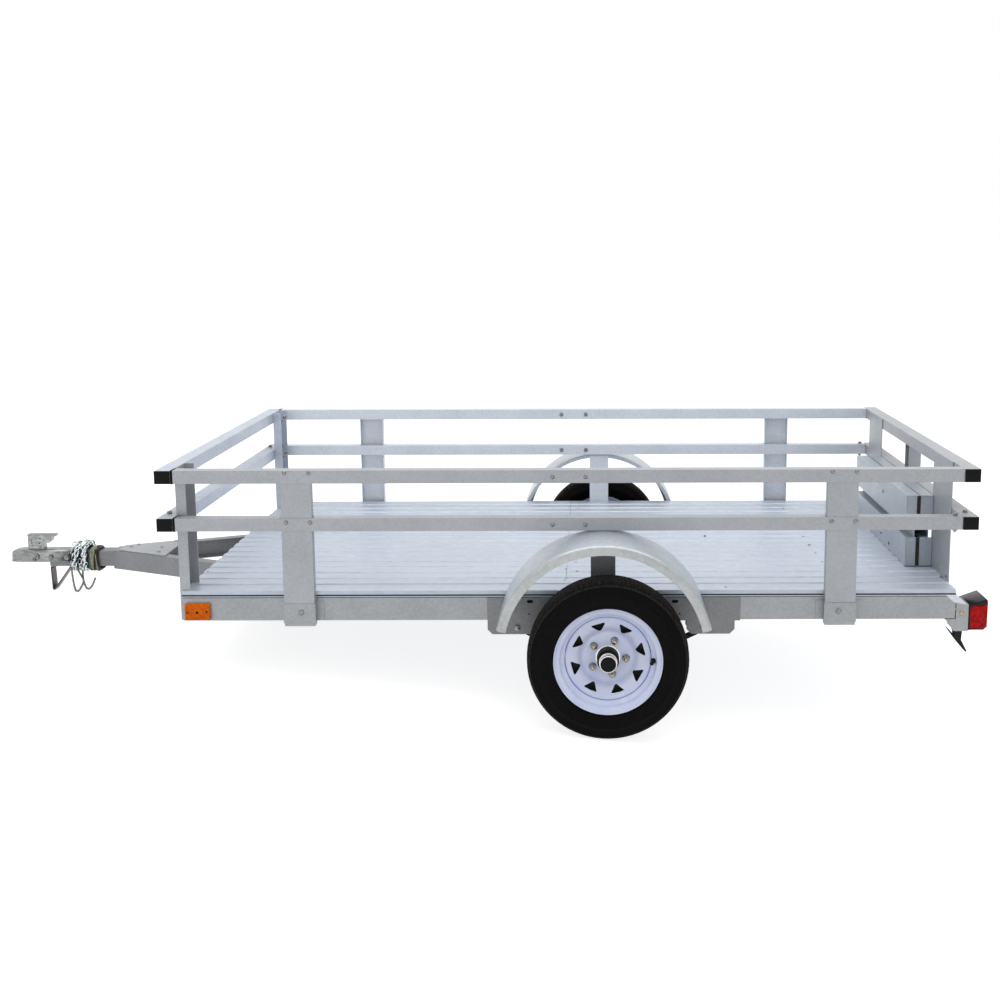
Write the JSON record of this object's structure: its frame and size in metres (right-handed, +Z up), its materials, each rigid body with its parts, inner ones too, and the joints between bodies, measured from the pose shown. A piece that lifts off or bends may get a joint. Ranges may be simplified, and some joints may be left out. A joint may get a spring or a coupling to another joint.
{
  "type": "utility trailer",
  "caption": "Galvanised single-axle utility trailer: ribbed deck inside two rail rings on posts, round fenders, A-frame tongue with ball coupler, and a folded loading ramp.",
  "frame": {"origin": "middle of the bounding box at floor level, with the trailer parked nose-down on both tyres and its tongue stand", "axes": "+X toward the tail, -X toward the coupler, -Y the trailer's left side, +Z up"},
  "size_m": [3.4804, 1.88, 0.9602],
  "materials": {
    "frame_zinc": "hot-dip galvanised, fine matt spangle",
    "deck_zinc": "galvanised ribbed sheet, satin",
    "post_zinc": "galvanised, fine matt spangle",
    "rail_zinc": "galvanised square tube",
    "fender_zinc": "galvanised pressing, bright rolled lip",
    "tongue_zinc": "galvanised",
    "coupler_zinc": "zinc-plated pressing",
    "chain_steel": "bright zinc-plated chain and hooks",
    "cable": "black cable with coloured leads",
    "running_gear": "black painted axle and springs",
    "tyre": "black rubber",
    "rim_paint": "white gloss paint",
    "hub": "black dust cap on a steel hub",
    "lamp_red": "red lens in a black housing",
    "lamp_amber": "amber lens",
    "black_plastic": "black",
    "ramp_zinc": "galvanised pressing"
  },
  "bodies": {
    "chassis": {"frame_rail_near": "frame_zinc", "frame_rail_far": "frame_zinc", "frame_front_member": "frame_zinc", "frame_rear_member": "frame_zinc", "cross_member_1": "frame_zinc", "cross_member_2": "frame_zinc", "cross_member_3": "frame_zinc", "splice_sleeve_near": "frame_zinc", "splice_sleeve_far": "frame_zinc", "deck_front": "deck_zinc", "deck_rear": "deck_zinc", "side_post_front_near": "post_zinc", "side_post_front_far": "post_zinc", "side_post_rear_near": "post_zinc", "side_post_rear_far": "post_zinc", "front_post_near": "post_zinc", "front_post_far": "post_zinc", "rear_post_near": "post_zinc", "rear_post_far": "post_zinc", "rear_post_middle": "post_zinc", "upper_rail_near": "rail_zinc", "upper_rail_far": "rail_zinc", "upper_rail_front": "rail_zinc", "upper_rail_rear": "rail_zinc", "lower_rail_near": "rail_zinc", "lower_rail_far": "rail_zinc", "lower_rail_front": "rail_zinc", "lower_rail_rear": "rail_zinc", "fender_near": "fender_zinc", "fender_far": "fender_zinc", "fender_bar_near": "fender_zinc", "fender_bar_far": "fender_zinc", "tongue_tube": "tongue_zinc", "tongue_arm_near": "tongue_zinc", "tongue_arm_far": "tongue_zinc", "tongue_gusset": "tongue_zinc", "tongue_stand": "coupler_zinc", "coupler": "coupler_zinc", "coupler_latch": "coupler_zinc", "safety_chains": "chain_steel", "wiring_harness": "cable", "axle_beam": "running_gear", "leaf_spring_near": "running_gear", "leaf_spring_far": "running_gear", "tail_lamp_near": "lamp_red", "tail_lamp_far": "lamp_red", "lamp_bracket_near": "frame_zinc", "lamp_bracket_far": "frame_zinc", "plate_holder": "black_plastic", "side_marker_near": "lamp_amber", "side_marker_far": "lamp_amber", "ramp_leaf_inner": "ramp_zinc", "ramp_leaf_outer": "ramp_zinc"},
    "wheel_near": {"tyre_near": "tyre", "rim_near": "rim_paint", "hub_near": "hub"},
    "wheel_far": {"tyre_far": "tyre", "rim_far": "rim_paint", "hub_far": "hub"}
  },
  "joints": [
    {"name": "wheel_near_spin", "type": "hinge", "parent": "chassis", "child": "wheel_near", "pos_m": [0.50966, -0.86, 0.25498], "axis": [0, -1, 0], "continuous": true},
    {"name": "wheel_far_spin", "type": "hinge", "parent": "chassis", "child": "wheel_far", "pos_m": [0.50966, 0.86, 0.25498], "axis": [0, -1, 0], "continuous": true}
  ]
}
